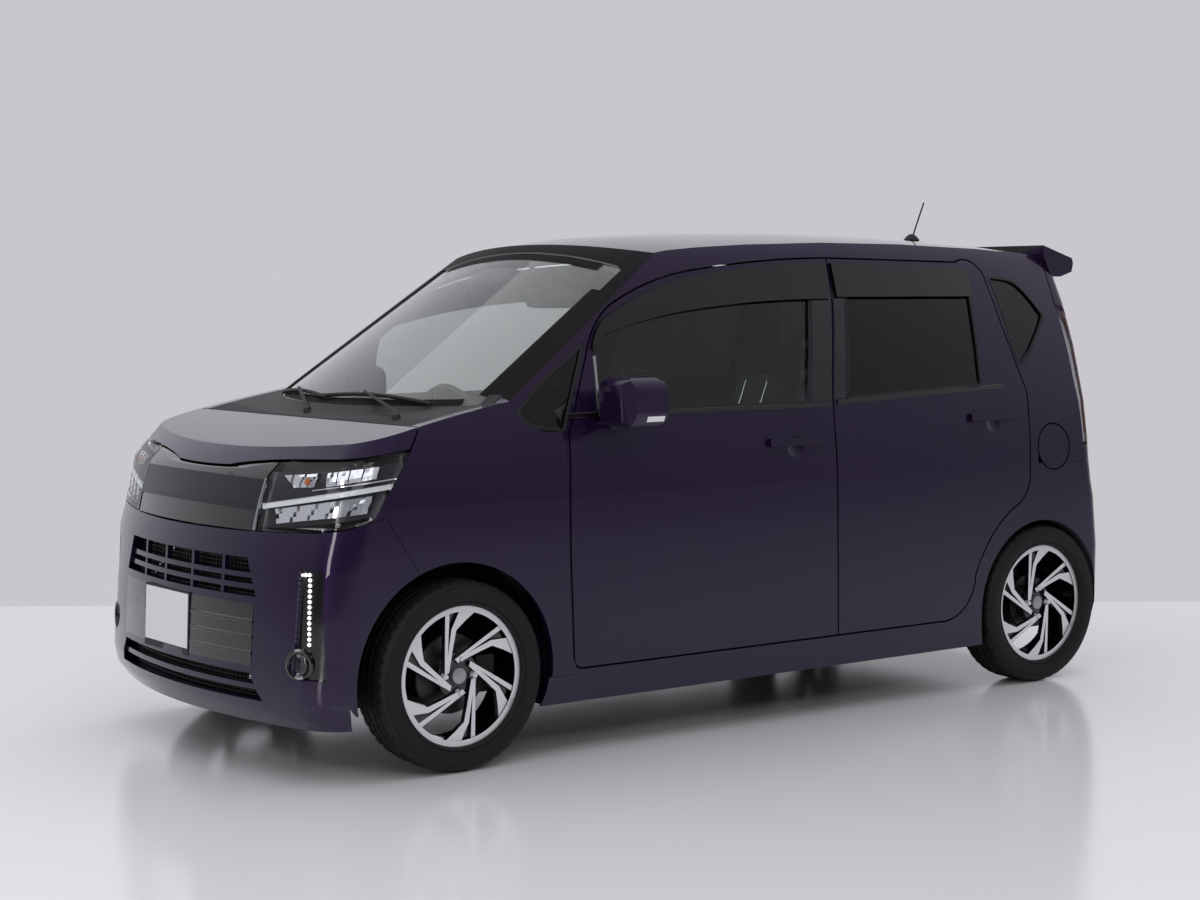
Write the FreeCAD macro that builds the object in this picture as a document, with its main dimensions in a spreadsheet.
import FreeCAD, Part
import math
import os
import re
import Sketcher

# Small five-door kei car. Millimetres, front towards -X, left side towards -Y, Z up from the floor.
# The origin is on the floor, under the middle of the car's box.

doc = FreeCAD.newDocument("keiCar")
V = FreeCAD.Vector

# Driving dimensions, one row of the sheet each
sizes = {
    # outer box and running gear
    "overallLength": 3395, "overallWidth": 1475, "roofHeight": 1605, "wheelbase": 2455,
    "frontOverhang": 575, "track": 1304, "beltHeight": 1030, "sillBottom": 158,
    # skin and panels
    "doorThick": 62, "pillarThick": 40, "roofThick": 34, "hoodThick": 28, "noseThick": 30,
    "panelGap": 6, "floorTop": 236, "firewallSetback": 262, "firewallThick": 30,
    # wheels, from the middle plane of the wheel outwards
    "tyreDiameter": 562, "tyreWidth": 165, "treadHalf": 68.5, "shoulder": 10, "rimRadius": 206, "rimThick": 17,
    "rimHalf": 62, "hubRadius": 68, "hubFace": 46, "spokeFace": 58, "spokeThick": 18,
    "slotDepth": 11, "capRadius": 27, "spindleRadius": 22, "boreSlack": 0.4,
    "discRadius": 118, "discThick": 12, "drumRadius": 96,
    "frontArchRadius": 325, "innerArchRadius": 347, "rearArchRadius": 300,
    "wellDepth": 342, "rearWellDepth": 205,
    # steering
    "kingpinFoot": 598, "kingpinHeight": 205, "kingpinLean": 13.1, "strutRadius": 20, "pinRadius": 10,
    "steeringRadius": 178, "steeringRim": 24,
    # glass
    "glassThick": 5, "glassSet": 7, "visorStand": 12, "visorThick": 3, "visorGrip": 10,
    # handles and mirrors
    "handleLength": 245, "handleHeight": 26, "handleStand": 15, "handleThick": 6,
    "cupRadius": 96, "cupDepth": 14, "mirrorBase": 736, "mirrorReach": 898,
    # heavy and lower pieces
    "engineLength": 440, "engineWidth": 580, "engineHeight": 550, "crossHeight": 240,
    "pipeRadius": 20, "pipeHeight": 185, "mufflerRadius": 70, "tankBottom": 178,
    "rearFloor": 400, "rearFloorThick": 35,
    # cabin
    "seatWidth": 480, "seatHeight": 470, "driverY": 340,
}
# Places that follow from them, as formulas of the sheet
derived = {
    "frontAxle": "=frontOverhang - overallLength / 2",
    "rearAxle": "=frontAxle + wheelbase",
    "hubHeight": "=tyreDiameter / 2",
    "wheelY": "=track / 2",
    "kickUp": "=rearAxle - 740",
    "leanSlope": "=tan(kingpinLean * 1 deg)",
}

sheet = doc.addObject("Spreadsheet::Sheet", "Sizes")
for row, (alias, value) in enumerate(list(sizes.items()) + list(derived.items()), start=1):
    sheet.set("A%d" % row, alias)
    sheet.set("B%d" % row, str(value))
    sheet.setAlias("B%d" % row, alias)
doc.recompute()


def size(alias):
    return float(sheet.get(alias))


halfWidth = size("overallWidth") / 2
frontEnd = -size("overallLength") / 2
rearEnd = size("overallLength") / 2
frontAxle = size("frontAxle")
rearAxle = size("rearAxle")
hubHeight = size("hubHeight")
roof = size("roofHeight")
belt = size("beltHeight")
gap = size("panelGap")
wheelY = size("wheelY")
firewall = frontAxle + size("firewallSetback")


def frontX(offset):
    return frontAxle + offset


def rearX(offset):
    return rearAxle + offset


# Body stations, bottom to top: height, inset of the side, set-back of the nose, set-in of the tail,
# bow of the side over a metre, radius of the nose corner, radius of the nose's bow
lowerStations = [
    (0, 26, 44, 40, 3, 150, 2100),
    (45, 14, 9, 14, 3, 150, 2100),
    (105, 6, 0, 0, 3, 150, 2100),
    (315, 0, 13, 2, 3, 140, 2100),
    (492, 0.5, 26, 20, 3, 130, 2000),
    (552, 1.5, 44, 34, 3, 130, 2000),
    (632, 4.5, 63, 44, 3, 125, 2000),
    (712, 10, 92, 47, 3, 120, 2200),
    (777, 19, 166, 47, 4, 120, 2600),
    (842, 29, 225, 45, 6, 115, 2600),
]
# The same above the belt line, heights from the belt and from the roof
upperStations = [
    (belt + 165, 65, 300, 43, 20, 110, 2600),
    (roof - 255, 100, 300, 48, 33, 110, 2600),
    (roof - 105, 145, 300, 66, 44, 110, 2600),
    (roof - 45, 177, 300, 76, 47, 110, 2600),
    (roof + 20, 228, 300, 92, 50, 110, 2600),
]
tailBow = 4500
tailCorner = 50
sideMid = frontAxle + 1400


def circleMeet(centreA, radiusA, centreB, radiusB, pickX, pickY):
    """Where two circles meet, on the side that pick points to."""
    span = centreB - centreA
    reach = span.Length
    along = (radiusA ** 2 - radiusB ** 2 + reach ** 2) / (2 * reach)
    rise = math.sqrt(max(radiusA ** 2 - along ** 2, 0))
    unit = span * (1 / reach)
    normal = V(-unit.y, unit.x, 0)
    options = [centreA + unit * along + normal * rise, centreA + unit * along - normal * rise]
    return max(options, key=lambda p: p.x * pickX + p.y * pickY)


def tangentPoint(centre, through, radius):
    direction = through - centre
    return centre + direction * (radius / direction.Length)


def arc(start, middle, end):
    return Part.Arc(start, middle, end).toShape()


def roundEdge(centre, radius, start, end):
    """An arc in plan as one cubic curve, so that lofts between such arcs stay simple surfaces."""
    height = start.z
    hub = V(centre.x, centre.y, height)
    outStart = (start - hub).normalize()
    outEnd = (end - hub).normalize()
    angle = outStart.getAngle(outEnd)
    turn = 1 if outStart.cross(outEnd).z > 0 else -1
    reach = 4 / 3 * math.tan(angle / 4) * radius
    startWay = V(-outStart.y, outStart.x, 0) * turn
    endWay = V(-outEnd.y, outEnd.x, 0) * turn
    curve = Part.BezierCurve()
    curve.setPoles([start, start + startWay * reach, end - endWay * reach, end])
    return curve.toShape()


def planWire(height, half, nose, tail, sideSag, noseCorner, noseBow, tailRound):
    """One plan section of the body: bowed ends, round corners and slightly bowed sides."""
    sideRadius = 1e6 / (2 * sideSag)
    noseCentre = V(nose + noseBow, 0, 0)
    tailCentre = V(tail - tailBow, 0, 0)
    sideCentre = V(sideMid, -half + sideRadius, 0)
    frontRound = circleMeet(noseCentre, noseBow - noseCorner, sideCentre, sideRadius - noseCorner, -1, -0.5)
    rearRound = circleMeet(tailCentre, tailBow - tailRound, sideCentre, sideRadius - tailRound, 1, -0.5)
    a = tangentPoint(noseCentre, frontRound, noseBow)
    b = tangentPoint(sideCentre, frontRound, sideRadius)
    c = tangentPoint(sideCentre, rearRound, sideRadius)
    d = tangentPoint(tailCentre, rearRound, tailBow)

    def left(p):
        return V(p.x, p.y, height)

    def right(p):
        return V(p.x, -p.y, height)

    mirrorSide = V(sideCentre.x, -sideCentre.y, 0)
    edges = [
        roundEdge(noseCentre, noseBow, right(a), left(a)),
        roundEdge(frontRound, noseCorner, left(a), left(b)),
        roundEdge(sideCentre, sideRadius, left(b), left(c)),
        roundEdge(rearRound, tailRound, left(c), left(d)),
        roundEdge(tailCentre, tailBow, left(d), right(d)),
        roundEdge(V(rearRound.x, -rearRound.y, 0), tailRound, right(d), right(c)),
        roundEdge(mirrorSide, sideRadius, right(c), right(b)),
        roundEdge(V(frontRound.x, -frontRound.y, 0), noseCorner, right(b), right(a)),
    ]
    return Part.Wire(edges)


def bodyLoft(lowerInset, upperInset, coarse=False):
    """The body's outer form, moved inwards by one amount below the belt and another above it.

    A coarse form, for an inner face, leaves out the sections that are nearly in line.
    """
    wires = []
    for rank, (height, inset, nose, tail, sag, corner, bow) in enumerate(lowerStations):
        if coarse and rank in (1, 2, 4, 5, 7):
            continue
        move = lowerInset
        wires.append(planWire(size("sillBottom") + height, halfWidth - inset - move,
                              frontEnd + nose + move, rearEnd - tail - move, sag,
                              corner - move * 0.6, bow - move, tailCorner - move * 0.6))
    for height, inset, nose, tail, sag, corner, bow in upperStations:
        move = upperInset
        wires.append(planWire(height, halfWidth - inset - move, frontEnd + nose + move,
                              rearEnd - tail - move, sag, corner - move * 0.6, bow - move,
                              tailCorner - move * 0.6))
    return Part.makeLoft(wires, True, True)


skins = {}


def skin(inset):
    """The body's form moved inwards everywhere, or outwards where inset is negative."""
    if inset not in skins:
        skins[inset] = bodyLoft(inset, inset)
    return skins[inset]


def band(outside, inside):
    """What lies between two such forms."""
    return skin(outside).cut(skin(inside))


def box(x0, x1, y0, y1, z0, z1):
    return Part.makeBox(x1 - x0, y1 - y0, z1 - z0, V(x0, y0, z0))


def sideFace(segments, y):
    """A face in the side view. A segment of two points is a line. A longer one is a chain of arcs,
    each through a point, the next and the one after."""
    edges = []
    for segment in segments:
        points = [V(x, y, z) for x, z in segment]
        if len(points) == 2:
            edges.append(Part.makeLine(points[0], points[1]))
        for i in range(0, len(points) - 2, 2):
            edges.append(arc(points[i], points[i + 1], points[i + 2]))
    return Part.Face(Part.Wire(edges))


def sidePrism(segments, y0, y1, shrink=0):
    face = sideFace(segments, y0)
    if shrink:
        face = face.makeOffset2D(-shrink)
        face = face if face.ShapeType == "Face" else face.Faces[0]
    return face.extrude(V(0, y1 - y0, 0))


def closed(points):
    """Straight segments round a closed outline."""
    return [[points[i], points[(i + 1) % len(points)]] for i in range(len(points))]


def mirrored(shape):
    return shape.mirror(V(0, 0, 0), V(0, 1, 0))


def bothSides(shape):
    return Part.makeCompound([shape, mirrored(shape)])


# Windscreen: part of a cylinder that lies back along its slope
screenBase = V(frontX(-40), 0, belt + 14)
screenRise = V(640, 0, 414)
screenAlong = screenRise * (1 / screenRise.Length)
screenInwards = V(screenAlong.z, 0, -screenAlong.x)
screenBow = 2248
screenReach = 860


def onScreen(y, up, depth):
    """A point from the foot of the windscreen's centre line: across, up the slope and inwards."""
    return screenBase + screenAlong * up + V(0, y, 0) + screenInwards * depth


def screenPrism(setBack):
    """Everything ahead of the windscreen's outer face, moved inwards square to it."""
    foot = -1600
    far = -3000
    sag = screenBow - math.sqrt(screenBow ** 2 - screenReach ** 2)
    left = onScreen(-screenReach, foot, sag + setBack)
    right = onScreen(screenReach, foot, sag + setBack)
    farLeft = onScreen(-screenReach, foot, far)
    farRight = onScreen(screenReach, foot, far)
    edges = [arc(left, onScreen(0, foot, setBack), right), Part.makeLine(right, farRight),
             Part.makeLine(farRight, farLeft), Part.makeLine(farLeft, left)]
    return Part.Face(Part.Wire(edges)).extrude(screenAlong * 3200)


def aboveHood(drop):
    """Everything above the hood and cowl surface, lowered by drop."""
    start = V(frontEnd - 150, -screenReach, belt - 192 - drop)
    middle = V(frontX(-240), -screenReach, belt - 48 - drop)
    end = V(frontX(330), -screenReach, belt + 62 - drop)
    top = belt + 900
    corners = [end, V(frontX(1500), -screenReach, end.z), V(frontX(1500), -screenReach, top),
               V(frontEnd - 150, -screenReach, top), start]
    edges = [arc(start, middle, end)]
    edges += [Part.makeLine(corners[i], corners[i + 1]) for i in range(len(corners) - 1)]
    return Part.Face(Part.Wire(edges)).extrude(V(0, screenReach * 2, 0))


def aboveRoof(drop):
    """Everything above the crowned roof surface, lowered by drop."""
    profile = [(frontX(150), 225), (frontX(500), 102), (frontX(620), 75), (frontX(742), 54),
               (frontX(872), 33), (frontX(1000), 22), (frontX(1200), 11), (frontX(1533), 2),
               (frontX(1900), 5), (frontX(2306), 20), (frontX(2621), 41), (frontX(3100), 86)]
    crown = 3300
    reach = 840
    sag = reach ** 2 / (2 * crown)
    wires = []
    for x, fall in profile:
        z = roof - fall - drop
        low = V(x, -reach, z - sag)
        high = V(x, reach, z - sag)
        lid = roof + 900
        wires.append(Part.Wire([arc(low, V(x, 0, z), high), Part.makeLine(high, V(x, reach, lid)),
                                Part.makeLine(V(x, reach, lid), V(x, -reach, lid)),
                                Part.makeLine(V(x, -reach, lid), low)]))
    return Part.makeLoft(wires, True, True)


def wellCylinder(centreX, radius, y0, y1):
    return Part.makeCylinder(radius, y1 - y0, V(centreX, y0, hubHeight), V(0, 1, 0))


frontArchX = frontX(-17)
rearArchX = rearX(-10)
sideOut = halfWidth + 60
frontWellIn = halfWidth - size("wellDepth")
rearWellIn = halfWidth - size("rearWellDepth")
wellWall = 10

# Cut lines in the side view
pillarCut = [(frontX(1535), roof - 101), (frontX(1524), roof - 241), (frontX(1497), belt + 186),
             (frontX(1468), belt), (frontX(1461), belt - 180), (frontX(1459), belt - 386),
             (frontX(1468), 262)]
frontDoorLine = [
    [(frontX(428), 262), (frontX(404), 272), (frontX(395), 300)],
    [(frontX(395), 300), (frontX(386), 473)],
    [(frontX(386), 473), (frontX(382), belt - 316), (frontX(396), belt - 56)],
    [(frontX(396), belt - 56), (frontX(515), belt + 212)],
    [(frontX(515), belt + 212), (frontX(556), roof - 304), (frontX(610), roof - 255), (frontX(731), roof - 200),
     (frontX(986), roof - 140), (frontX(1243), roof - 113), (frontX(1535), roof - 101)],
    pillarCut,
    [(frontX(1468), 262), (frontX(428), 262)],
]
rearDoorLine = [
    list(reversed(pillarCut)),
    [(frontX(1535), roof - 101), (rearX(-290), roof - 111)],
    [(rearX(-290), roof - 111), (rearX(-171), roof - 132), (rearX(-153), roof - 156)],
    [(rearX(-153), roof - 156), (rearX(-118), belt + 240), (rearX(-52), belt + 12)],
    [(rearX(-52), belt + 12), (rearX(-64), belt - 128), (rearX(-72), belt - 285)],
    [(rearX(-72), belt - 285), (rearX(-100), belt - 358), (rearX(-160), belt - 398)],
    [(rearX(-160), belt - 398), (rearX(-278), 528), (rearX(-345), 410)],
    [(rearX(-345), 410), (rearX(-392), 304), (rearX(-513), 262)],
    [(rearX(-513), 262), (frontX(1468), 262)],
]
frontWindowLine = [
    [(frontX(507), belt + 2), (frontX(526), belt + 200)],
    [(frontX(526), belt + 200), (frontX(640), roof - 285), (frontX(756), roof - 236),
     (frontX(1070), roof - 166), (frontX(1440), roof - 142)],
    [(frontX(1440), roof - 142), (frontX(1424), roof - 234), (frontX(1359), belt + 2)],
    [(frontX(1359), belt + 2), (frontX(507), belt + 2)],
]
rearWindowLine = [
    [(frontX(1534), belt + 10), (frontX(1588), roof - 235), (frontX(1600), roof - 142)],
    [(frontX(1600), roof - 142), (rearX(-252), roof - 149)],
    [(rearX(-252), roof - 149), (rearX(-258), roof - 230), (rearX(-280), belt + 36)],
    [(rearX(-280), belt + 36), (frontX(1534), belt + 10)],
]
quarterLine = [
    [(rearX(-128), roof - 162), (rearX(10), roof - 184), (rearX(112), roof - 287)],
    [(rearX(112), roof - 287), (rearX(115), roof - 304), (rearX(104), roof - 321)],
    [(rearX(104), roof - 321), (rearX(40), belt + 187), (rearX(-60), belt + 108)],
    [(rearX(-60), belt + 108), (rearX(-98), belt + 260), (rearX(-128), roof - 162)],
]
frontQuarterLine = [
    [(frontX(222), belt + 10), (frontX(262), belt - 30), (frontX(378), belt - 48)],
    [(frontX(378), belt - 48), (frontX(495), belt + 208)],
    [(frontX(495), belt + 208), (frontX(423), belt + 158), (frontX(322), belt + 92), (frontX(258), belt + 49),
     (frontX(222), belt + 10)],
]
ahead = frontEnd - 100
hoodLip = [(ahead, belt - 174), (frontX(-500), belt - 160), (frontX(-452), belt - 146), (frontX(-415), belt - 127),
           (frontX(-375), belt - 117), (frontX(-266), belt - 101), (frontX(-158), belt - 87)]
lampFoot = [(frontX(-294), belt - 278), (frontX(-470), belt - 316), (ahead, belt - 326)]
hoodSideLine = [
    hoodLip,
    [(frontX(-158), belt - 87), (frontX(-130), belt - 42), (frontX(-84), belt + 120)],
    [(frontX(-84), belt + 120), (ahead, belt + 120)],
    [(ahead, belt + 120), (ahead, belt - 174)],
]
lampLine = [
    hoodLip,
    [(frontX(-158), belt - 87), (frontX(-294), belt - 278)],
    lampFoot,
    [(ahead, belt - 326), (ahead, belt - 174)],
]
bumperLine = [
    [(frontX(-150), 100), (frontX(-150), 600)],
    [(frontX(-150), 600), (frontX(-215), 700), (frontX(-252), belt - 271)],
    [(frontX(-252), belt - 271), (frontX(-294), belt - 278)],
    lampFoot,
    [(ahead, belt - 326), (ahead, 100)],
    [(ahead, 100), (frontX(-150), 100)],
]
grilleHalf = 392
lampInner = grilleHalf + 6
hoodRear = frontX(-108)
cowlRadius = 2800


def behindHood(x):
    """Everything behind the hood's rear edge, an arc in plan."""
    side = cowlRadius - math.sqrt(cowlRadius ** 2 - screenReach ** 2)
    left = V(x + side, -screenReach, 0)
    right = V(x + side, screenReach, 0)
    far = frontX(900)
    edges = [
        arc(left, V(x, 0, 0), right),
        Part.makeLine(right, V(far, screenReach, 0)),
        Part.makeLine(V(far, screenReach, 0), V(far, -screenReach, 0)),
        Part.makeLine(V(far, -screenReach, 0), left),
    ]
    return Part.Face(Part.Wire(edges)).extrude(V(0, 0, 2000))


def screenOpening(shrink):
    """The windscreen's outline, swept square to its slope."""
    def at(y, up):
        return onScreen(y, up, -60)

    foot = 159 + shrink
    head = 882 - shrink
    footY = 606 - shrink
    headY = 531 - shrink
    edges = [
        arc(at(-footY, foot), at(0, 8 + shrink), at(footY, foot)),
        Part.makeLine(at(footY, foot), at(headY, head)),
        arc(at(headY, head), at(0, head + 6), at(-headY, head)),
        Part.makeLine(at(-headY, head), at(-footY, foot)),
    ]
    return Part.Face(Part.Wire(edges)).extrude(screenInwards * 285)


def frontPrism(points, x0, x1):
    """A prism along the car from an outline in the front view."""
    wire = Part.makePolygon([V(x0, y, z) for y, z in points + points[:1]])
    return Part.Face(wire).extrude(V(x1 - x0, 0, 0))


def zone(segments, shrink=0, y0=-900, y1=-380):
    return sidePrism(segments, y0, y1, shrink)


def wells(radiusAdd, depthAdd):
    """The four wheel wells. Behind the front arch's lip the well is wider, for the steered wheel."""
    front = wellCylinder(frontArchX, size("frontArchRadius") + radiusAdd, -sideOut, -frontWellIn + depthAdd)
    inner = wellCylinder(frontArchX, size("innerArchRadius") + radiusAdd, -halfWidth + 34 - depthAdd,
                         -frontWellIn + depthAdd)
    rear = wellCylinder(rearArchX, size("rearArchRadius") + radiusAdd, -sideOut, -rearWellIn + depthAdd)
    left = front.fuse(inner)
    return Part.makeCompound([left, rear, mirrored(left), mirrored(rear)])


def solidsOf(shape, least=20000):
    """The real solids of a boolean's result, without its slivers."""
    keep = [s for s in shape.Solids if s.Volume > least]
    return keep[0] if len(keep) == 1 else Part.makeCompound(keep)


# The whole body as one hollow shell
kickUp = size("kickUp")
rearFloor = size("rearFloor")
rearFloorThick = size("rearFloorThick")
tunnelHalf = 110
outer = bodyLoft(0, 0)
outer = outer.cut(screenPrism(0).common(aboveHood(0))).cut(aboveRoof(0))
housing = wells(wellWall, wellWall)
innerForm = bodyLoft(size("doorThick"), size("pillarThick"), True)
cabin = innerForm.cut(aboveRoof(size("roofThick")))
cabin = cabin.cut(screenPrism(size("pillarThick")))
cabin = cabin.common(box(firewall, kickUp, -900, 900, size("floorTop"), 2000)
                     .fuse(box(kickUp, rearEnd, -900, 900, rearFloor, 2000))).cut(housing)
bay = bodyLoft(size("noseThick"), size("noseThick"), True).cut(aboveHood(size("hoodThick")))
bayBack = firewall - size("firewallThick")
bay = bay.common(box(frontEnd, bayBack, -900, 900, 200, 2000)).cut(housing)
under = Part.makeCompound([
    box(frontX(-330), bayBack, -375, 375, 0, 201),
    box(bayBack - 1, kickUp + rearFloorThick, -tunnelHalf, tunnelHalf, 0, 214),
    box(kickUp + rearFloorThick, rearX(290), -505, 505, 0, rearFloor - rearFloorThick),
])
shell = outer.cut(cabin).cut(bay).cut(wells(0, 0)).cut(under)
glassBand = band(size("glassSet"), size("glassSet") + size("glassThick"))

nodes = {}


def addFeature(label, shape):
    feature = doc.addObject("Part::Feature", label)
    feature.Label = label
    feature.Shape = shape
    feature.Placement = FreeCAD.Placement()
    nodes[label] = feature
    return feature


def addPair(label, leftShape):
    addFeature(label + "_left", leftShape)
    addFeature(label + "_right", mirrored(leftShape))


# Front end
hoodZone = sidePrism(hoodSideLine, -screenReach, screenReach).cut(behindHood(hoodRear))
hoodTrim = sidePrism(hoodSideLine, -screenReach, screenReach, gap).cut(behindHood(hoodRear - gap))
addFeature("hood", solidsOf(shell.common(hoodTrim)))

lampZone = zone(lampLine, 0, -900, -lampInner)
lampBody = shell.common(zone(lampLine, 1.5, -900, -lampInner - 1.5))
addFeature("headlamps", bothSides(solidsOf(lampBody)))

bumperZone = sidePrism(bumperLine, -900, 900)
upperIntake = [(-433, belt - 504), (433, belt - 504), (384, belt - 395), (-384, belt - 395)]
lowerIntake = [(-470, belt - 800), (470, belt - 800), (420, belt - 722), (-420, belt - 722)]
lampSlot = [(-690, belt - 722), (-598, belt - 722), (-598, belt - 415), (-676, belt - 415)]
slotDepth = frontX(-330)
slotPrism = frontPrism(lampSlot, ahead, slotDepth)
upperPrism = frontPrism(upperIntake, ahead, slotDepth)
lowerPrism = frontPrism(lowerIntake, ahead, slotDepth)
bumper = shell.common(sidePrism(bumperLine, -900, 900, 1.5)).cut(housing)
for opening in (upperPrism, lowerPrism, slotPrism, mirrored(slotPrism)):
    bumper = bumper.cut(opening)
# bars across the intakes
barHeight = 15
barBand = band(9, 24)
for level in (belt - 446, belt - 478, belt - 762):
    bar = box(ahead, slotDepth, -500, 500, level - barHeight / 2, level + barHeight / 2)
    bumper = bumper.fuse(barBand.common(bar).common(upperPrism.fuse(lowerPrism)))
for y in (-260, -90, 90, 260):
    post = box(ahead, slotDepth, y - 7, y + 7, belt - 504, belt - 395)
    bumper = bumper.fuse(barBand.common(post))
addFeature("front_bumper", solidsOf(bumper))

grilleZone = box(ahead, frontX(-300), -lampInner, lampInner, belt - 327, belt - 80)
grilleBody = shell.common(box(ahead, frontX(-300), -grilleHalf, grilleHalf, belt - 318, belt - 80))
grilleBody = grilleBody.cut(hoodZone).cut(bumperZone)
addFeature("grille", solidsOf(grilleBody))

cowlZone = shell.common(behindHood(hoodRear)).common(screenPrism(25))
cowlZone = cowlZone.common(box(hoodRear - 20, frontX(250), -640, 640, belt - 60, belt + 60))
cowlZone = cowlZone.cut(screenOpening(0))
addFeature("cowl", solidsOf(cowlZone))

fenderLine = closed([(frontX(-480), 245), (frontX(-480), belt + 100), (frontX(190), belt + 62),
                     (frontX(222), belt + 12), (frontX(240), belt - 20), (frontX(306), belt - 42),
                     (frontX(378), belt - 52), (frontX(390), belt - 56), (frontX(380), belt - 138),
                     (frontX(376), belt - 316), (frontX(380), 473), (frontX(392), 300), (frontX(412), 245)])
fenderDepth = 92
fenderZone = zone(fenderLine, 0, -900, -halfWidth + fenderDepth)
fender = shell.common(zone(fenderLine, 1, -900, -halfWidth + fenderDepth)).cut(housing)
fender = fender.cut(hoodZone).cut(lampZone).cut(bumperZone).cut(cowlZone).cut(zone(frontQuarterLine))
addFeature("fenders", bothSides(solidsOf(fender)))

# Doors and glass
windscreenGlass = screenPrism(5 + size("glassThick")).cut(screenPrism(5)).common(screenOpening(2))
addFeature("windshield", solidsOf(windscreenGlass))


def doorHandle(door, x, z):
    """A bar that stands off the door over a round cup, on a foot at each end."""
    reach = size("handleLength") / 2
    rise = size("handleHeight") / 2
    bar = box(x - reach, x + reach, -900, 0, z - rise, z + rise)
    ends = bar.cut(box(x - reach + 26, x + reach - 26, -900, 0, z - 100, z + 100))
    cupY = skin(0).common(box(x - 1, x + 1, -900, 0, z - 1, z + 1)).BoundBox.YMin
    cup = Part.makeSphere(size("cupRadius"), V(x - 6, cupY - size("cupRadius") + size("cupDepth"), z - 8))
    stand = -size("handleStand")
    grip = band(stand, stand + size("handleThick")).common(bar)
    return door.cut(cup).fuse(grip).fuse(band(stand, 3).common(ends))


doorForm = outer.cut(innerForm).cut(wells(0, 0))
frontDoor = solidsOf(doorForm.common(zone(frontDoorLine, gap / 2)).cut(zone(frontWindowLine)))
rearDoor = solidsOf(doorForm.common(zone(rearDoorLine, gap / 2)).cut(zone(rearWindowLine)))
addPair("front_door", solidsOf(doorHandle(frontDoor, frontX(1292), belt - 120)))
addPair("rear_door", solidsOf(doorHandle(rearDoor, rearX(-239), belt - 73)))
addPair("front_glass", solidsOf(glassBand.common(zone(frontWindowLine)), 1000))
addPair("rear_glass", solidsOf(glassBand.common(zone(rearWindowLine)), 1000))
quarterPanes = [solidsOf(glassBand.common(zone(line)), 1000) for line in (quarterLine, frontQuarterLine)]
addFeature("quarter_glass", bothSides(Part.makeCompound(quarterPanes)))

# Smoked strips over the side windows, held along their upper edge
visorTop = [(frontX(519), belt + 190), (frontX(556), roof - 315), (frontX(628), roof - 268),
            (frontX(738), roof - 220), (frontX(986), roof - 156), (frontX(1243), roof - 128),
            (frontX(1518), roof - 116)]
visorFoot = [(frontX(1514), roof - 236), (frontX(1209), roof - 243), (frontX(955), roof - 264),
             (frontX(708), roof - 305), (frontX(571), belt + 235)]
frontVisorLine = [visorTop, [visorTop[-1], visorFoot[0]], visorFoot, [visorFoot[-1], visorTop[0]]]
rearVisorLine = closed([(frontX(1542), roof - 118), (rearX(-296), roof - 128), (rearX(-250), roof - 136),
                        (rearX(-250), roof - 230), (frontX(1542), roof - 230)])
visorStand = -size("visorStand")
for label, line in (("front_visor", frontVisorLine), ("rear_visor", rearVisorLine)):
    lowered = [[(x, z - size("visorGrip")) for x, z in segment] for segment in line]
    sheetPart = band(visorStand, visorStand + size("visorThick")).common(zone(line))
    edge = band(visorStand, 0).common(zone(line).cut(zone(lowered)))
    addPair(label, solidsOf(sheetPart.fuse(edge), 1000))


def roundedSection(y, x0, x1, z0, z1, radius):
    """A rectangle with round corners, across the car at one distance from its middle."""
    centres = [(x1 - radius, z1 - radius, 0), (x0 + radius, z1 - radius, 90),
               (x0 + radius, z0 + radius, 180), (x1 - radius, z0 + radius, 270)]
    rounds = []
    for x, z, start in centres:
        angles = [math.radians(start + turn) for turn in (0, 45, 90)]
        rounds.append([V(x + radius * math.cos(a), y, z + radius * math.sin(a)) for a in angles])
    edges = []
    for i in range(4):
        edges.append(arc(*rounds[i]))
        edges.append(Part.makeLine(rounds[i][2], rounds[(i + 1) % 4][0]))
    return Part.Wire(edges)


def roundedBar(y0, y1, x0, x1, z0, z1, radius):
    """A bar across the car with that rectangle as its section."""
    return Part.Face(roundedSection(y0, x0, x1, z0, z1, radius)).extrude(V(0, y1 - y0, 0))


# Mirrors on the front doors: a housing round in side and front view, bowed to the front, on a short foot
mirrorBase = size("mirrorBase")
mirrorReach = size("mirrorReach")
housingSide = roundedBar(-mirrorReach, -mirrorBase, frontX(480), frontX(625), belt - 45, belt + 112, 46)
housingFront = roundedBar(400, 700, -mirrorReach, -mirrorBase, belt - 45, belt + 112, 52)
housingFront.rotate(V(0, 0, 0), V(0, 0, 1), 90)
bow = Part.makeCylinder(230, 400, V(frontX(709), -mirrorBase - 55, belt - 200), V(0, 0, 1))
mirrorFoot = roundedBar(-mirrorBase - 40, 60 - halfWidth, frontX(500), frontX(615), belt - 50, belt - 24, 10)
mirror = housingSide.common(housingFront).common(bow).fuse(mirrorFoot).cut(outer)
addPair("mirror", solidsOf(mirror))

# Rear end
gateHalf = 592
gateTop = roof - 112
gateFront = rearX(205)
gateRoofX = rearX(190)
gateFloor = 560
out = rearEnd + 50
gateZone = box(gateFront, out, -gateHalf, gateHalf, gateFloor, roof + 50)
gateZone = gateZone.fuse(box(gateRoofX, out, -gateHalf, gateHalf, gateTop, roof + 50))
gateBody = box(gateFront + gap, out, gap - gateHalf, gateHalf - gap, gateFloor + gap, roof + 50)
gateBody = gateBody.fuse(box(gateRoofX + gap, out, gap - gateHalf, gateHalf - gap, gateTop, roof + 50))
spoilerProfile = [(gateRoofX + gap, roof - 46), (rearX(352), roof - 92), (rearX(358), roof - 112),
                  (rearX(350), roof - 142), (rearX(290), roof - 160), (rearX(240), roof - 160),
                  (gateRoofX + gap, roof - 80)]
spoilerHalf = 540
spoiler = sidePrism(closed(spoilerProfile), -spoilerHalf, spoilerHalf)
tailgate = shell.common(gateBody).fuse(spoiler.cut(cabin))
gateWindow = [(-500, belt + 20), (500, belt + 20), (462, roof - 175), (-462, roof - 175)]
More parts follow.
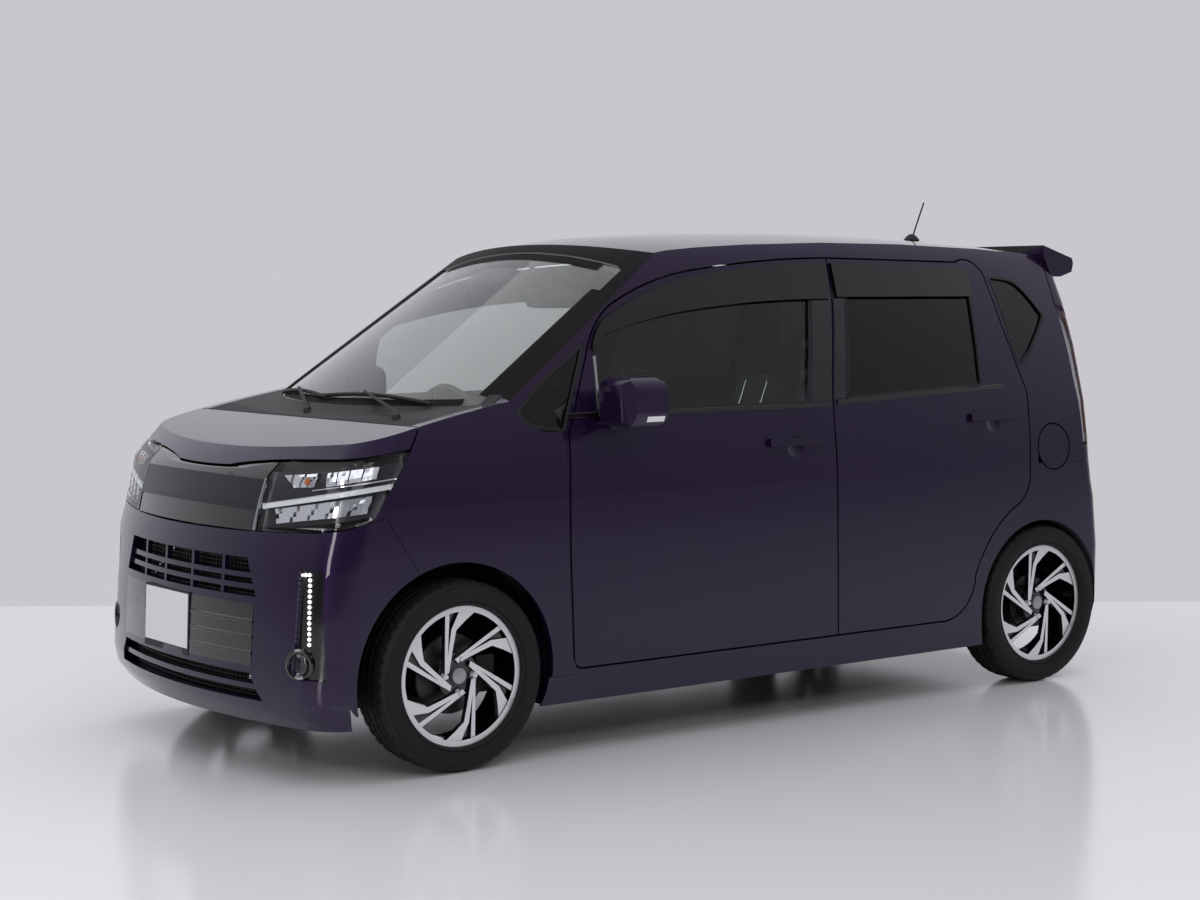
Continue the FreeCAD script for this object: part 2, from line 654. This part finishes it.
gatePane = frontPrism(gateWindow, gateFront, out)
addFeature("tailgate", solidsOf(tailgate.cut(frontPrism(gateWindow, rearX(120), out))))
addFeature("tailgate_glass", solidsOf(glassBand.common(gatePane), 1000))
tailLampX = rearX(212)
tailLampZone = box(tailLampX, out, -900, -gateHalf, belt - 195, roof - 215)
tailLamp = shell.common(box(tailLampX + 1, out, -900, -gateHalf - 1, belt - 194, roof - 216))
addFeature("tail_lamps", bothSides(solidsOf(tailLamp)))
rearBumperFront = rearX(120)
rearBumperZone = box(rearBumperFront, out, -900, 900, 0, belt - 250).cut(gateZone)
rearBumper = shell.common(box(rearBumperFront, out, -900, 900, 0, belt - 251)).cut(gateZone).cut(housing)
addFeature("rear_bumper", solidsOf(rearBumper))

# The fuel lid, a round flap that lies in a shallow pocket of the left side
lidCentre = V(rearX(55.5), -900, belt - 190)
lidRadius = 79
lidHinge = V(rearX(55.5) - lidRadius + 8, -halfWidth + 17, belt - 190)
skinTool = bodyLoft(7, 7)
pocketTool = bodyLoft(30, 30)
lidPost = Part.makeCylinder(3, 62, lidHinge - V(0, 0, 31), V(0, 0, 1))
lidEyes = [Part.makeCylinder(6, 16, lidHinge + V(0, 0, z), V(0, 0, 1)) for z in (-24, 8)]
lidDisc = Part.makeCylinder(lidRadius, 300, lidCentre, V(0, 1, 0))
fuelLid = outer.common(lidDisc).cut(skinTool)
for eye in lidEyes:
    fuelLid = fuelLid.fuse(eye)
fuelLid = fuelLid.cut(Part.makeCylinder(3.4, 80, lidHinge - V(0, 0, 40), V(0, 0, 1)))
# a notch inside the lid's front rim passes the hinge's bar when the lid is open
fuelLid = fuelLid.cut(box(lidHinge.x - 12, lidHinge.x, lidHinge.y, lidHinge.y + 6, lidHinge.z - 6, lidHinge.z + 6))
addFeature("fuel_lid", solidsOf(fuelLid))
lidPocket = outer.common(Part.makeCylinder(lidRadius + gap, 300, lidCentre, V(0, 1, 0))).cut(pocketTool)
lidBar = box(lidHinge.x + 0.5, lidHinge.x + 12, lidHinge.y + 2.5, lidHinge.y + 26, lidHinge.z - 4, lidHinge.z + 4)
lidBar = lidBar.fuse(lidPost)
# under the skin, room for the lower front of the lid as it swings in
lidRelief = box(lidHinge.x - 13, lidHinge.x + 12, lidHinge.y - 11, lidHinge.y + 10, lidHinge.z - 56, lidHinge.z - 26)

# What is left of the shell: sides, roof, floor and front structure
openings = [zone(quarterLine), zone(frontQuarterLine)]
behindDoors = bodyLoft(size("doorThick") + gap, size("pillarThick") + gap, True)
doorZones = [zone(line, -gap / 2).cut(behindDoors) for line in (frontDoorLine, rearDoorLine)]
leftZones = [lampZone, fenderZone, tailLampZone] + doorZones + openings
rest = shell.cut(hoodZone).cut(grilleZone).cut(cowlZone).cut(screenOpening(0)).cut(gateZone)
rest = rest.cut(box(frontX(-600), frontX(-150), -900, 900, 0, 150))
for part in leftZones:
    rest = rest.cut(part).cut(mirrored(part))
rest = rest.cut(bumperZone.cut(housing)).cut(rearBumperZone.cut(housing))
# openings in the wells for the lower arms, the rear spindles and the struts
armNotch = box(frontX(-60), frontX(60), -halfWidth + 30, halfWidth - 30, 0, 300)
rest = rest.cut(armNotch)
rest = rest.cut(Part.makeCylinder(60, 2 * halfWidth - 200, V(rearAxle, -halfWidth + 100, hubHeight), V(0, 1, 0)))
lean = math.radians(size("kingpinLean"))
kingpinWay = V(0, math.sin(lean), math.cos(lean))
kingpinBase = V(frontAxle, -size("kingpinFoot"), size("kingpinHeight"))
towerHole = Part.makeCylinder(size("pinRadius") + 2 + size("boreSlack"), 200, kingpinBase + kingpinWay * 380,
                              kingpinWay)
rest = rest.cut(towerHole).cut(mirrored(towerHole))
roofZone = box(frontX(600), gateRoofX, -505, 505, roof - 190, roof + 10)
floorHalf = halfWidth - 90
floorZone = box(firewall, kickUp, -floorHalf, floorHalf, 0, size("floorTop"))
floorZone = floorZone.fuse(box(kickUp - 10, rearX(350), -rearWellIn + 10, rearWellIn - 10, 0, rearFloor))
frontZone = box(frontEnd, firewall, -halfWidth + fenderDepth, halfWidth - fenderDepth, 0, belt + 200)
addFeature("roof_panel", solidsOf(rest.common(roofZone)))
addFeature("floor_pan", solidsOf(rest.common(floorZone)))
addFeature("front_structure", solidsOf(rest.common(frontZone), 400000))
sides = rest.cut(roofZone).cut(floorZone).cut(frontZone)
leftSide = solidsOf(sides.common(box(frontEnd, rearEnd, -900, 0, 0, 2000)), 400000)
# the pillar between the doors, behind their inner faces
postHalf = 42
postWay = pillarCut[:-1] + [(pillarCut[-1][0], size("floorTop"))]
postFront = [(x - postHalf, z) for x, z in postWay]
postBack = [(x + postHalf, z) for x, z in reversed(postWay)]
postLine = [postFront, [postFront[-1], postBack[0]], postBack, [postBack[-1], postFront[0]]]
post = bodyLoft(size("doorThick") + gap + 10, size("pillarThick") + gap + 10, True)
post = post.cut(bodyLoft(size("doorThick") + 50, size("pillarThick") + 50, True))
post = post.common(zone(postLine)).cut(aboveRoof(size("roofThick")))
postFoot = box(frontX(1468) - postHalf, frontX(1468) + postHalf, -halfWidth + 50, -halfWidth + 112,
               size("floorTop"), 262 - gap)
postHead = outer.common(box(postWay[0][0] - postHalf, postWay[0][0] + postHalf, -halfWidth + 100, -halfWidth + 231,
                            roof - 98 + gap, roof - 60))
leftSide = leftSide.fuse(post).fuse(postFoot).fuse(postHead).removeSplitter()
addFeature("body_side_left", leftSide.cut(lidPocket).cut(lidRelief).fuse(lidBar))
addFeature("body_side_right", mirrored(leftSide))

# Front lamps low in the bumper
fogBand = bodyLoft(14, 14).cut(bodyLoft(size("noseThick"), size("noseThick"), True))
fogLamp = fogBand.common(slotPrism)
addFeature("fog_lamps", bothSides(solidsOf(fogLamp, 5000)))

# Dashboard across the cabin, with the column for the steering wheel on the right
dashLine = [[(6, 700), (6, belt - 20)], [(6, belt - 20), (80, belt - 8), (160, belt - 10)],
            [(160, belt - 10), (300, belt - 45)], [(300, belt - 45), (340, belt - 130)],
            [(340, belt - 130), (300, belt - 250)], [(300, belt - 250), (6, 700)]]
dashShift = [[(firewall + x, z) for x, z in segment] for segment in dashLine]
dash = sidePrism(dashShift, -size("kingpinFoot") - 34, size("kingpinFoot") + 34)
steeringCentre = V(frontX(692), size("driverY"), belt - 125)
columnTilt = 25
columnWay = V(math.cos(math.radians(columnTilt)), 0, math.sin(math.radians(columnTilt)))
column = Part.makeCylinder(30, 210, steeringCentre - columnWay * 262, columnWay)
dash = dash.fuse(column).cut(Part.makeCylinder(12 + size("boreSlack"), 60, steeringCentre - columnWay * 110,
                                               columnWay))
addFeature("dashboard", solidsOf(dash))


# Pieces made of plain solids, with their sizes bound to the sheet

def formula(text):
    """A formula of the sheet's names, as an expression that a feature can hold."""
    return re.sub(r"[a-z][A-Za-z]+", lambda found: "Sizes." + found.group(), text)


def bind(solid, base, fields):
    for axis, text in zip("xyz", base):
        solid.setExpression("Placement.Base." + axis, formula(text))
    for field, text in fields.items():
        solid.setExpression(field, formula(text))
    return solid


def slab(label, base, length, width, height, turn=None):
    solid = doc.addObject("Part::Box", label)
    if turn:
        solid.Placement = FreeCAD.Placement(V(), turn)
    return bind(solid, base, {"Length": length, "Width": width, "Height": height})


def rod(label, base, radius, length, way=V(0, 0, 1)):
    solid = doc.addObject("Part::Cylinder", label)
    solid.Placement = FreeCAD.Placement(V(), FreeCAD.Rotation(V(0, 0, 1), way))
    return bind(solid, base, {"Radius": radius, "Height": length})


def joined(label, parts):
    result = doc.addObject("Part::MultiFuse", label)
    result.Shapes = parts
    return result


def without(label, base, tools):
    result = doc.addObject("Part::Cut", label)
    result.Base = base
    result.Tool = tools[0] if len(tools) == 1 else joined(label + "Tools", tools)
    return result


def mirrorOf(label, source):
    result = doc.addObject("Part::Mirroring", label)
    result.Source = source
    result.Normal = V(0, 1, 0)
    return result


def grouped(label, parts):
    result = doc.addObject("Part::Compound", label)
    result.Links = parts
    return result


def node(label, feature):
    feature.Label = label
    nodes[label] = feature


acrossY = V(0, 1, 0)
alongX = V(1, 0, 0)

# Engine block and the cross member that carries it, with the lower arms
node("engine", slab("engineBlock", ("frontAxle - 300", "-engineWidth / 2", "crossHeight"),
                    "engineLength", "engineWidth", "engineHeight"))
kingpin = ("frontAxle", "-kingpinFoot", "kingpinHeight")
cross = slab("crossMember", ("frontAxle - 60", "-375", "crossHeight - 50"), "180", "750", "50")
leftArm = slab("leftArm", ("frontAxle - 30", "-kingpinFoot - 24", "kingpinHeight - 28"), "60",
               "kingpinFoot - 300", "18")
leftRear = slab("leftArmRear", ("frontAxle + 10", "-375", "kingpinHeight - 28"), "100", "80", "18")
leftRise = slab("leftArmRise", ("frontAxle - 30", "-370", "kingpinHeight - 28"), "60", "30", "40")
armBore = rod("armBore", kingpin, "pinRadius + boreSlack", "90", kingpinWay)
armBore.Placement.Base = kingpinBase
armBore.setExpression("Placement.Base.z", formula("kingpinHeight - 44"))
armBore.setExpression("Placement.Base.y", formula("-kingpinFoot - 44 * leanSlope"))
leftLower = without("leftLower", joined("leftLowerParts", [leftArm, leftRear, leftRise]), [armBore])
node("front_subframe", joined("frontSubframe", [cross, leftLower, mirrorOf("rightLower", leftLower)]))

# Knuckles: strut along the kingpin, hub carrier, spindle and brake caliper
strut = rod("strut", kingpin, "strutRadius", "388", kingpinWay)
topPin = rod("topPin", kingpin, "pinRadius + 2", "450", kingpinWay)
ballPin = rod("ballPin", kingpin, "pinRadius", "60", kingpinWay)
ballPin.setExpression("Placement.Base.z", formula("kingpinHeight - 34"))
ballPin.setExpression("Placement.Base.y", formula("-kingpinFoot - 34 * leanSlope"))
carrier = rod("carrier", ("frontAxle", "-wheelY + 42", "hubHeight"), "46", "50", acrossY)
spindle = rod("spindle", ("frontAxle", "-wheelY - 38", "hubHeight"), "spindleRadius", "100", acrossY)
caliper = slab("caliperBlock", ("frontAxle + 76", "-wheelY - 26", "hubHeight - 48"), "62", "90", "96")
caliperArm = slab("caliperArm", ("frontAxle", "-wheelY + 44", "hubHeight - 20"), "100", "20", "40")
discRoom = rod("discRoom", ("frontAxle", "-wheelY - discThick / 2 - 5", "hubHeight"), "discRadius + 6",
               "discThick + 10", acrossY)
caliperCut = without("caliper", caliper, [discRoom])
node("knuckle_left", joined("knuckleLeft", [strut, topPin, ballPin, carrier, spindle, caliperCut, caliperArm]))
node("knuckle_right", mirrorOf("knuckleRight", nodes["knuckle_left"]))

# Rear axle: beam, trailing arms, spindles and spring struts
beam = rod("beam", ("rearAxle - 120", "-470", "hubHeight - 6"), "30", "940", acrossY)
armLeft = slab("trailArm", ("rearAxle - 345", "-482", "hubHeight - 26"), "380", "42", "46")
rearSpindle = rod("rearSpindle", ("rearAxle", "-wheelY - 38", "hubHeight"), "spindleRadius", "wheelY - 442",
                  acrossY)
rearCarrier = rod("rearCarrier", ("rearAxle", "-wheelY + 60", "hubHeight"), "40", "wheelY - 502", acrossY)
spring = rod("springStrut", ("rearAxle - 60", "-461", "hubHeight"), "34", "rearFloor - rearFloorThick - hubHeight")
bush = slab("armBush", ("rearAxle - 345", "-482", "hubHeight"), "36", "42", "rearFloor - rearFloorThick - hubHeight")
leftAxle = joined("leftAxle", [armLeft, rearSpindle, rearCarrier, spring, bush])
node("rear_axle", joined("rearAxleBeam", [beam, leftAxle, mirrorOf("rightAxle", leftAxle)]))

# Exhaust and fuel tank
downPipe = rod("downPipe", ("frontAxle - 300 + engineLength + pipeRadius", "0", "pipeHeight"), "pipeRadius - 3",
               "180")
longPipe = rod("longPipe", ("frontAxle - 300 + engineLength", "0", "pipeHeight"), "pipeRadius",
               "wheelbase + 10", alongX)
muffler = rod("muffler", ("rearAxle + 160", "-50", "pipeHeight + 45"), "mufflerRadius", "380", acrossY)
tailPipe = rod("tailPipe", ("rearAxle + 160", "280", "pipeHeight + 20"), "pipeRadius", "120", alongX)
hanger = slab("hanger", ("rearAxle + 150", "140", "pipeHeight + 100"), "20", "30",
              "rearFloor - rearFloorThick - pipeHeight - 100")
node("exhaust", joined("exhaustLine", [downPipe, longPipe, muffler, tailPipe, hanger]))
node("fuel_tank", slab("fuelTankBox", ("rearAxle - 700", "-425", "tankBottom"), "270", "385",
                       "rearFloor - rearFloorThick - tankBottom"))

# Steering wheel: rim, hub and spokes round an axle that turns in the column
ringOut = rod("ringOut", ("0", "0", "-12"), "steeringRadius + steeringRim / 2", "steeringRim")
ringIn = rod("ringIn", ("0", "0", "-20"), "steeringRadius - steeringRim / 2", "steeringRim + 20")
ring = without("steeringRing", ringOut, [ringIn])
boss = rod("steeringBoss", ("0", "0", "-40"), "48", "42")
axleStub = rod("steeringStub", ("0", "0", "-100"), "12", "80")
crossSpoke = slab("crossSpoke", ("-18", "-steeringRadius", "-18"), "36", "2 * steeringRadius", "14")
lowSpoke = slab("lowSpoke", ("0", "-20", "-18"), "steeringRadius", "40", "14")
steering = joined("steeringWheel", [ring, boss, axleStub, crossSpoke, lowSpoke])
steering.Placement = FreeCAD.Placement(steeringCentre, FreeCAD.Rotation(V(0, 0, 1), columnWay))
node("steering_wheel", steering)


# Seats, plain here, with their real outline
def frontSeat(side, y):
    lean = FreeCAD.Rotation(V(0, 1, 0), 18)
    foot = slab("seatFoot" + side, ("frontAxle + 830", y + " - seatWidth / 2 + 50", "floorTop"), "420",
                "seatWidth - 100", "seatHeight - 140 - floorTop")
    cushion = slab("seatCushion" + side, ("frontAxle + 780", y + " - seatWidth / 2", "seatHeight - 140"), "520",
                   "seatWidth", "140")
    back = slab("seatBack" + side, ("frontAxle + 1200", y + " - seatWidth / 2", "seatHeight - 110"), "110",
                "seatWidth", "620", lean)
    rest = slab("seatRest" + side, ("frontAxle + 1402", y + " - 130", "seatHeight + 500"), "80", "260", "170", lean)
    return joined("frontSeat" + side, [foot, cushion, back, rest])


node("front_seats", grouped("frontSeats", [frontSeat("Left", "-driverY"), frontSeat("Right", "driverY")]))
bench = slab("bench", ("rearAxle - 725", "-515", "rearFloor"), "450", "1030", "170")
benchBack = slab("benchBack", ("rearAxle - 330", "-505", "rearFloor + 150"), "100", "1010", "520",
                 FreeCAD.Rotation(V(0, 1, 0), 12))
benchFoot = slab("benchFoot", ("rearAxle - 320", "-505", "rearFloor"), "100", "1010", "170")
node("rear_seat", joined("rearSeat", [bench, benchBack, benchFoot]))

# Antenna on the roof and the wipers at the windscreen's foot
antennaFoot = rod("antennaFoot", ("rearAxle + 58", "0", "roofHeight - 40"), "16", "30")
antennaRod = rod("antennaRod", ("rearAxle + 58", "0", "roofHeight - 20"), "3", "160", V(0.45, 0, 1))
node("antenna", without("antennaMast", joined("antennaParts", [antennaFoot, antennaRod]), [nodes["roof_panel"]]))


# Wheels. Each profile turns about the wheel's axle; outwards is towards -Y.
def values(formulas):
    """What formulas of the sheet come to now."""
    for row, text in enumerate(formulas, start=1):
        sheet.set("D%d" % row, "=" + text)
    sheet.recompute()
    return [float(sheet.get("D%d" % row)) for row in range(1, len(formulas) + 1)]


def outline(body, name, role, points, offset=0):
    """A closed sketch on one of the body's own planes, its corners held by formulas."""
    sketch = body.newObject("Sketcher::SketchObject", name)
    plane = [f for f in body.Origin.OriginFeatures if f.Role == role][0]
    sketch.AttachmentSupport = [(plane, "")]
    sketch.MapMode = "FlatFace"
    sketch.AttachmentOffset = FreeCAD.Placement(V(0, 0, offset), FreeCAD.Rotation())
    xs = values([x for x, y in points])
    ys = values([y for x, y in points])
    count = len(points)
    for i in range(count):
        j = (i + 1) % count
        sketch.addGeometry(Part.LineSegment(V(xs[i], ys[i], 0), V(xs[j], ys[j], 0)), False)
    for i in range(count):
        sketch.addConstraint(Sketcher.Constraint("Coincident", i, 2, (i + 1) % count, 1))
    for i, (x, y) in enumerate(points):
        for kind, value, text in (("DistanceX", xs[i], x), ("DistanceY", ys[i], y)):
            held = sketch.addConstraint(Sketcher.Constraint(kind, -1, 1, i, 1, value))
            sketch.setExpression("Constraints[%d]" % held, formula(text))
    return sketch


def turned(body, name, points):
    """A ring from a profile of radius and place along the axle."""
    sketch = outline(body, name + "Profile", "XY_Plane", points)
    feature = body.newObject("PartDesign::Revolution", name)
    feature.Profile = sketch
    feature.ReferenceAxis = (sketch, ["V_Axis"])
    feature.Angle = 360
    return feature


def wheelRim(name, brake):
    body = doc.addObject("PartDesign::Body", name)
    turned(body, name + "Barrel", [
        ("rimRadius", "-rimHalf"), ("rimRadius", "rimHalf"), ("rimRadius - rimThick", "rimHalf"),
        ("rimRadius - rimThick", "-rimHalf")])
    # two arms that leave the hub side by side: the straight one and the one that sweeps round
    spoke = [
        ("-rimRadius * 0.257", "rimRadius * 0.05"), ("-rimRadius * 0.240", "rimRadius * 0.92"),
        ("rimRadius * 0.02", "rimRadius * 0.955"), ("rimRadius * 0.284", "rimRadius * 0.91"),
        ("rimRadius * 0.10", "rimRadius * 0.787"), ("-rimRadius * 0.058", "rimRadius * 0.66"),
        ("-rimRadius * 0.113", "rimRadius * 0.425"), ("-rimRadius * 0.184", "rimRadius * 0.064")]
    spokeSketch = outline(body, name + "SpokeOutline", "XZ_Plane", spoke, size("spokeFace") - size("spokeThick"))
    pad = body.newObject("PartDesign::Pad", name + "Spoke")
    pad.Profile = spokeSketch
    pad.setExpression("Length", formula("spokeThick"))
    slot = [
        ("-rimRadius * 0.206", "rimRadius * 0.277"), ("-rimRadius * 0.165", "rimRadius * 0.955"),
        ("rimRadius * 0.01", "rimRadius * 0.955"), ("-rimRadius * 0.138", "rimRadius * 0.68")]
    slotSketch = outline(body, name + "SlotOutline", "XZ_Plane", slot, size("spokeFace"))
    pocket = body.newObject("PartDesign::Pocket", name + "Slot")
    pocket.Profile = slotSketch
    pocket.setExpression("Length", formula("slotDepth"))
    pattern = body.newObject("PartDesign::PolarPattern", name + "Spokes")
    pattern.Originals = [pad, pocket]
    axis = [f for f in body.Origin.OriginFeatures if f.Role == "Y_Axis"][0]
    pattern.Axis = (axis, [""])
    pattern.Angle = 360
    pattern.Occurrences = 6
    body.Tip = pattern
    turned(body, name + "Hub", [
        ("spindleRadius + boreSlack", "30"), ("hubRadius", "30")] + brake + [
        ("hubRadius", "-hubFace"), ("capRadius", "-hubFace"), ("capRadius", "-hubFace - 8"),
        ("0", "-hubFace - 8"), ("0", "-hubFace + 6"), ("spindleRadius + boreSlack", "-hubFace + 6")])
    doc.recompute()
    return body


def wheelTyre():
    body = doc.addObject("PartDesign::Body", "tyreMaster")
    turned(body, "tyreRing", [
        ("rimRadius", "-tyreWidth / 2"), ("tyreDiameter / 2 - shoulder", "-tyreWidth / 2"),
        ("tyreDiameter / 2", "-treadHalf"), ("tyreDiameter / 2", "treadHalf"),
        ("tyreDiameter / 2 - shoulder", "tyreWidth / 2"), ("rimRadius", "tyreWidth / 2")])
    doc.recompute()
    return body


disc = [("hubRadius", "discThick / 2"), ("discRadius", "discThick / 2"), ("discRadius", "-discThick / 2"),
        ("hubRadius", "-discThick / 2")]
drum = [("drumRadius", "30"), ("drumRadius", "-10"), ("hubRadius", "-10")]
frontRim = wheelRim("frontRim", disc)
rearRim = wheelRim("rearRim", drum)
tyre = wheelTyre()
for corner, axleX, rim in (("front", "frontAxle", frontRim), ("rear", "rearAxle", rearRim)):
    for side, sign, angle in (("left", "-", 0), ("right", "", 180)):
        for label, master in (("tyre", tyre), ("rim", rim)):
            wheel = addFeature("%s_%s_%s" % (label, corner, side), master.Shape.copy())
            wheel.Placement = FreeCAD.Placement(V(), FreeCAD.Rotation(V(0, 0, 1), angle))
            bind(wheel, (axleX, sign + "wheelY", "hubHeight"), {})

doc.recompute()
os.makedirs("parts", exist_ok=True)
for label, feature in nodes.items():
    problem = {"Invalid", "Error"}.intersection(feature.State)
    if problem or feature.Shape.isNull() or not feature.Shape.isValid():
        raise RuntimeError("%s is not sound: %s" % (label, feature.State))
    feature.Shape.exportStep("parts/%s.step" % label)
    print(label, len(feature.Shape.Solids))
